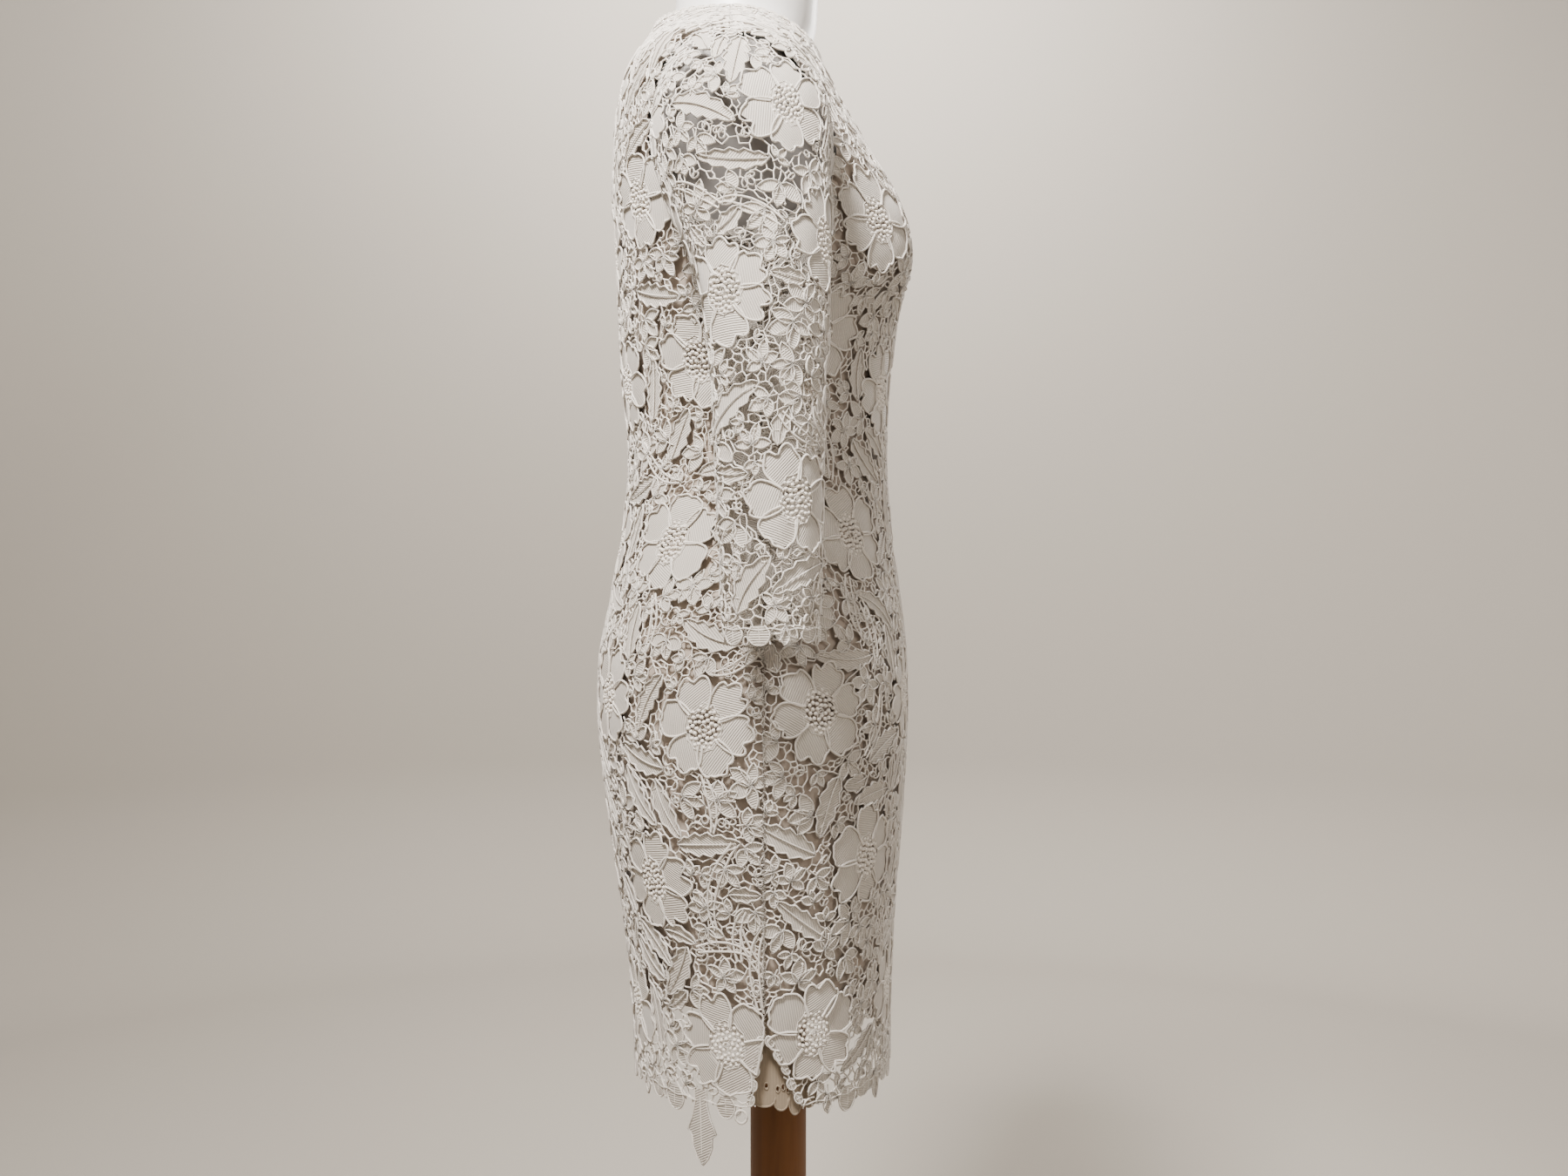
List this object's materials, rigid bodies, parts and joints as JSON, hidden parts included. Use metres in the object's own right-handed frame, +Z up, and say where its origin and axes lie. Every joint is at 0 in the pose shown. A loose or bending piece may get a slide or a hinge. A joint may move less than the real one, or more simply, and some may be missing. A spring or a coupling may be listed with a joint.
{
  "type": "lace sheath dress on a dress form with pole and base",
  "caption": "Knee-length guipure lace sheath dress with three-quarter sleeves and side vents, plainly lined, on a limbless dress form with a round pole and base.",
  "frame": {"origin": "middle of the base's underside, straight below the pole", "axes": "+Z up, -Y towards the front of the dress, +X towards the wearer's left"},
  "size_m": [0.4908, 0.38, 1.48],
  "materials": {
    "lace": "ivory cotton guipure, matt",
    "lining": "plain woven, soft sheen",
    "form_shell": "satin white shell",
    "pole_wood": "dark oiled",
    "zip_metal": "painted to match the lace"
  },
  "bodies": {
    "dress_and_stand": {"lace_front": "lace", "lace_back_left": "lace", "lace_back_right": "lace", "sleeve_left_front": "lace", "sleeve_left_back": "lace", "sleeve_right_front": "lace", "sleeve_right_back": "lace", "vent_underlap_left": "lace", "vent_underlap_right": "lace", "lining_front": "lining", "lining_back_left": "lining", "lining_back_right": "lining", "form_torso": "form_shell", "pole": "pole_wood", "base": "pole_wood", "zip_slider": "zip_metal"},
    "zip_tab": {"zip_pull": "zip_metal"}
  },
  "joints": [
    {"name": "zip_pull_hinge", "type": "hinge", "parent": "dress_and_stand", "child": "zip_tab", "pos_m": [0, 0.11608, 1.38466], "axis": [1, 0, 0], "range_deg": [0, 150]}
  ]
}
